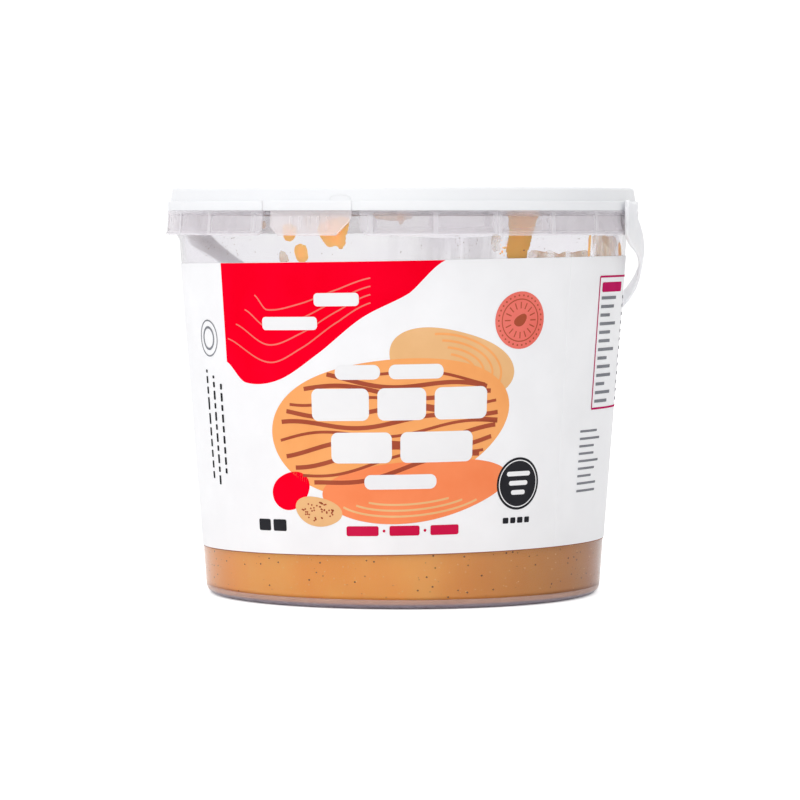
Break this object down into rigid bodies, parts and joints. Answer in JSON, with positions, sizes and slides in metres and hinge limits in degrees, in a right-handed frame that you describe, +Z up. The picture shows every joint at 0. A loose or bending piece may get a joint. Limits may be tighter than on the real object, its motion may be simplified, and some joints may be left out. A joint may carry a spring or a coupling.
{
  "type": "peanut butter tub",
  "caption": "Clear round tub of peanut butter with a white lid, a wrap label, a tear tab in its skirt and a hinged strap handle.",
  "frame": {"origin": "centre of the tub's foot, on the surface that the tub stands on", "axes": "+Z up along the tub's axis, -Y out of the front of the label, +X to the right as the front is seen"},
  "size_m": [0.1703, 0.169, 0.144],
  "materials": {
    "clear_plastic": "clear moulded polypropylene, glossy with a faint haze",
    "white_plastic": "satin white moulded plastic",
    "milky_plastic": "satin milky white, slightly translucent",
    "printed_label": "smooth coated label, white with printed fields of red, caramel and brown",
    "peanut_butter": "smooth, slightly oily nut paste with fine specks"
  },
  "bodies": {
    "tub": {"tub": "clear_plastic", "lid": "white_plastic", "label": "printed_label", "peanut_butter": "peanut_butter"},
    "handle": {"handle": "milky_plastic"}
  },
  "joints": [
    {"name": "handle_pivot", "type": "hinge", "parent": "tub", "child": "handle", "pos_m": [0, 0, 0.133], "axis": [0.9336, -0.3584, 0], "range_deg": [0, 236]}
  ]
}
